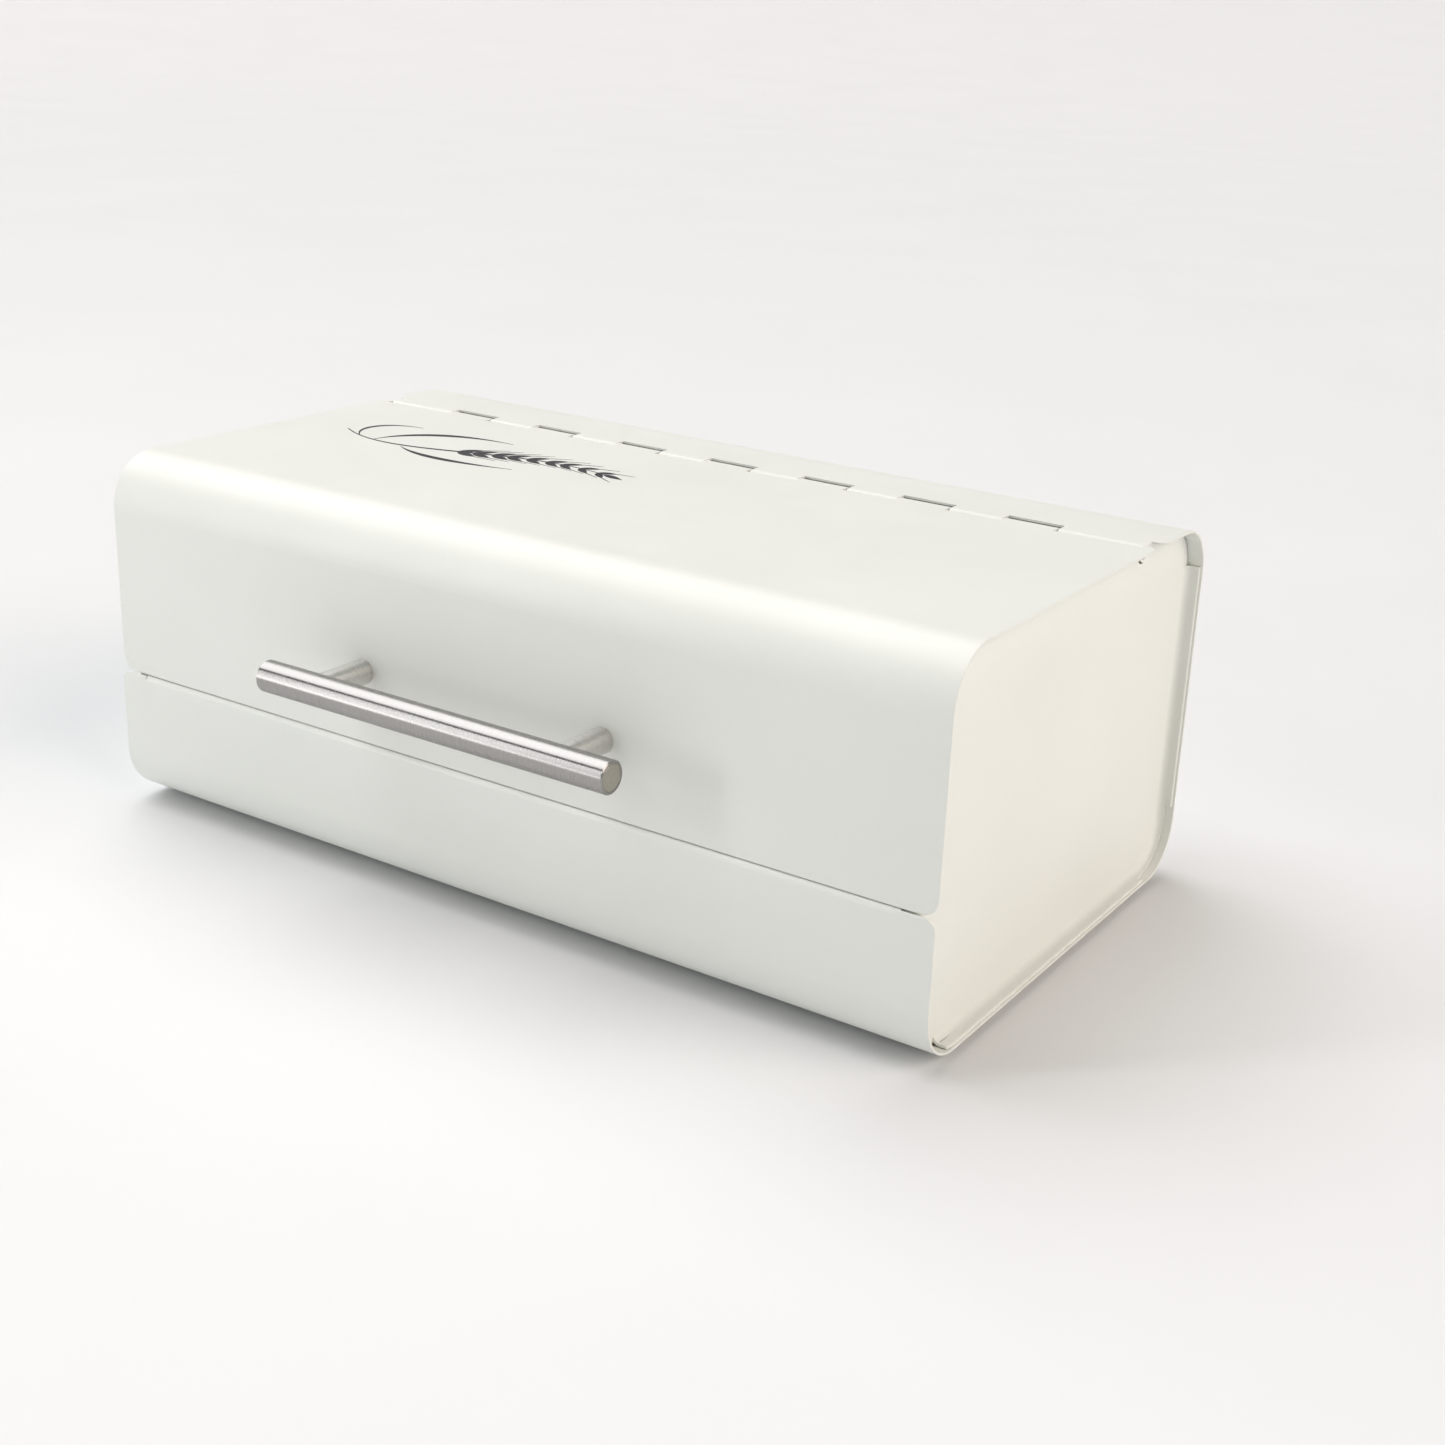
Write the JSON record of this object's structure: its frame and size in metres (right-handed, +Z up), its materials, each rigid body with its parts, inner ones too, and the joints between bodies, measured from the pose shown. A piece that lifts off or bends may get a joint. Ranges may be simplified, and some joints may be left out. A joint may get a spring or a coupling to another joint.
{
  "type": "bread box",
  "caption": "Bent-sheet bread box with a one-piece lid that lifts on a rolled rear hinge, recessed end panels and a bar handle.",
  "frame": {"origin": "middle of the whole object's footprint, on the table under the feet", "axes": "+X to the object's right as seen from the front, -Y out of the front face, +Z up"},
  "size_m": [0.33, 0.2084, 0.128],
  "materials": {
    "powder_coat": "satin cream-white powder coat",
    "brushed_bar": "stainless, brushed round and round",
    "cap_metal": "matt turned end face",
    "zinc_wire": "zinc plated",
    "foot_rubber": "matt black rubber",
    "lid_ink": "dark printed ink, drawn only in the visual model"
  },
  "bodies": {
    "box": {"body_shell": "powder_coat", "left_end_panel": "powder_coat", "right_end_panel": "powder_coat", "hinge_pin": "zinc_wire", "foot_front_left": "foot_rubber", "foot_front_right": "foot_rubber", "foot_rear_left": "foot_rubber", "foot_rear_right": "foot_rubber"},
    "lid": {"lid_panel": "powder_coat", "handle_bar": "brushed_bar", "handle_cap_left": "cap_metal", "handle_cap_right": "cap_metal", "handle_post_left": "brushed_bar", "handle_post_right": "brushed_bar", "handle_washers": "zinc_wire", "handle_screws": "zinc_wire"}
  },
  "joints": [
    {"name": "lid_hinge", "type": "hinge", "parent": "box", "child": "lid", "pos_m": [0, 0.06085, 0.12512], "axis": [-1, 0, 0], "range_deg": [0, 105]}
  ]
}
